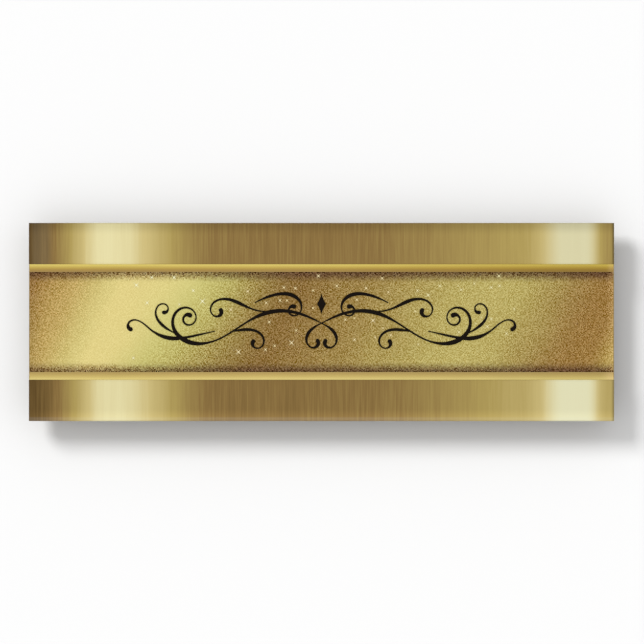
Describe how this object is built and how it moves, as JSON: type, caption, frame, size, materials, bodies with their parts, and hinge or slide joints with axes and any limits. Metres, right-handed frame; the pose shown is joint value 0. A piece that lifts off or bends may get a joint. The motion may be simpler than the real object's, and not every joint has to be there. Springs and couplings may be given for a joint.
{
  "type": "nameplate badge",
  "caption": "Oblong brass nameplate badge with brushed bands, polished rails, a glitter panel under a pen flourish in black enamel, and a magnet bar on its back.",
  "frame": {"origin": "centre of the magnet bar's flat face, on the surface that the badge rests on", "axes": "+X along the plate's length, +Y to its upper edge as worn, +Z out of its face"},
  "size_m": [0.0762, 0.0258, 0.0059],
  "materials": {
    "brushed_brass": "satin brass, finely brushed across the plate, toned lighter near both ends",
    "polished_brass": "polished gold-toned brass",
    "gold_glitter": "gold glitter flakes in clear varnish, browner along the rails",
    "black_enamel": "glossy black enamel, slightly domed",
    "nickel_plate": "satin nickel plating"
  },
  "bodies": {
    "root": {"plate": "brushed_brass", "rail_upper": "polished_brass", "rail_lower": "polished_brass", "glitter_panel": "gold_glitter", "flourish": "black_enamel", "lozenge": "black_enamel", "magnet_bar": "nickel_plate"}
  },
  "joints": []
}
